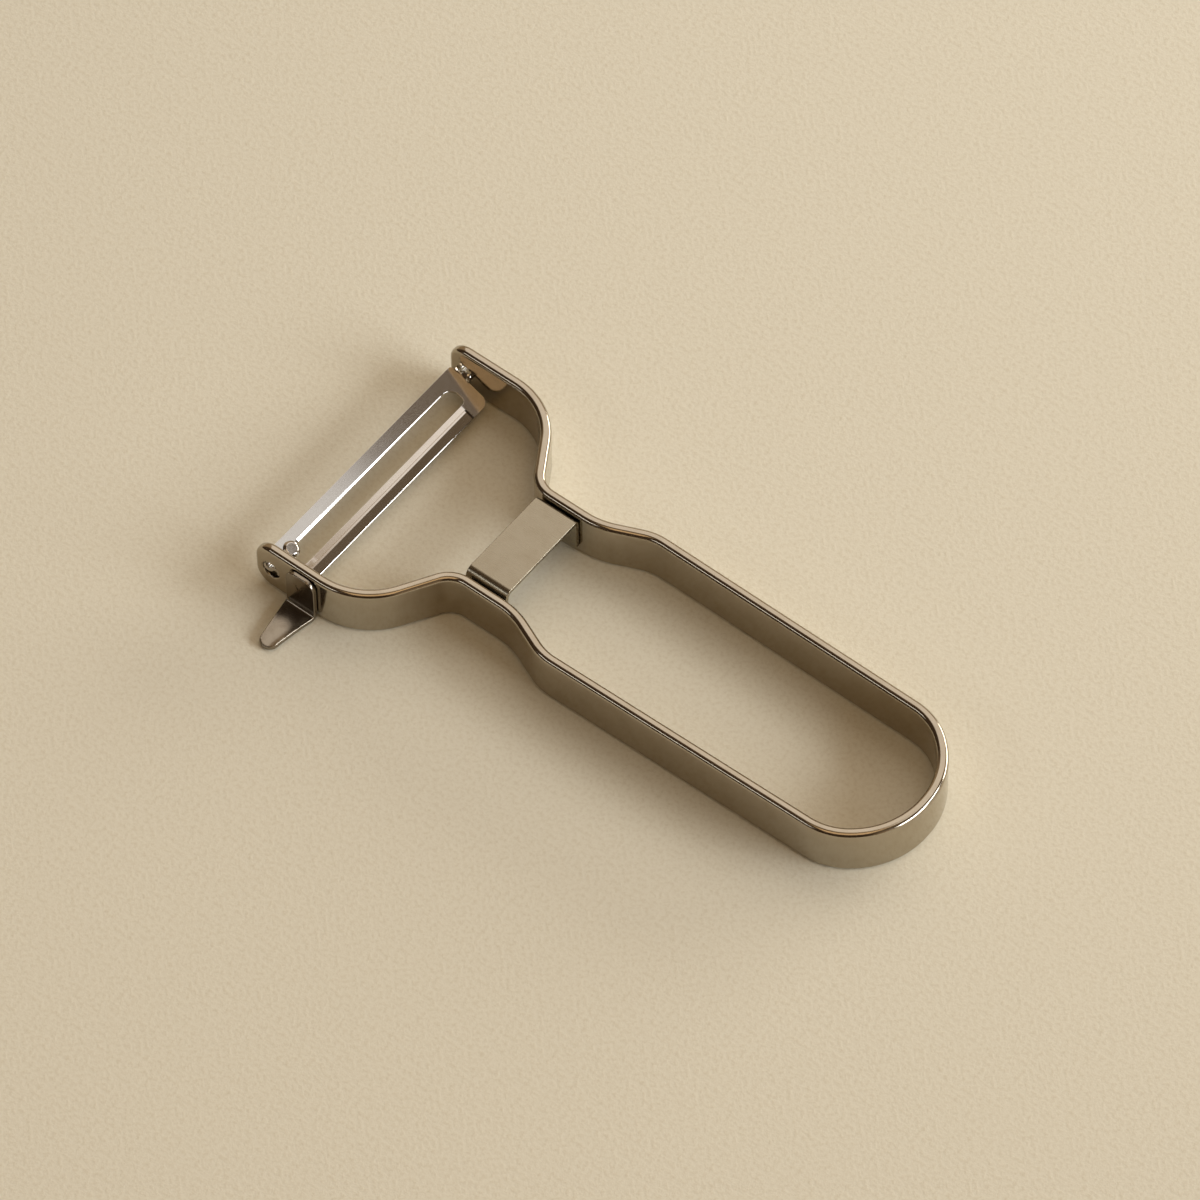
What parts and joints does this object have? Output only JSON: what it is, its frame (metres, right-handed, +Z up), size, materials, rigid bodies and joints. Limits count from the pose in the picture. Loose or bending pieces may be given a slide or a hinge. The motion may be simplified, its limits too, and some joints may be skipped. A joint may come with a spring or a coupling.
{
  "type": "vegetable peeler",
  "caption": "Y-shaped stainless steel vegetable peeler: a strip bent into ears and a handle loop, a welded bridge, a slotted blade turning between the ears, and an eye remover outside one ear.",
  "frame": {"origin": "on the table, under the middle of the strip at the butt of the handle loop", "axes": "+X along the handle to the ears, +Y to the side with the eye remover, +Z up out of the table that the peeler lies on"},
  "size_m": [0.12, 0.0642, 0.01],
  "materials": {
    "strip_steel": "tumbled stainless steel strip, satin with a soft sheen",
    "bridge_steel": "pressed stainless sheet, fine satin, bright sheared edges",
    "blade_steel": "ground stainless blade, near mirror, with ground facets",
    "remover_steel": "pressed stainless sheet, polished, bright sheared edges"
  },
  "bodies": {
    "handle": {"frame_strip": "strip_steel", "bridge": "bridge_steel", "eye_remover": "remover_steel"},
    "blade": {"blade": "blade_steel"}
  },
  "joints": [
    {"name": "blade_swing", "type": "hinge", "parent": "handle", "child": "blade", "pos_m": [0.1156, 0, 0.0047], "axis": [0, 1, 0], "continuous": true}
  ]
}
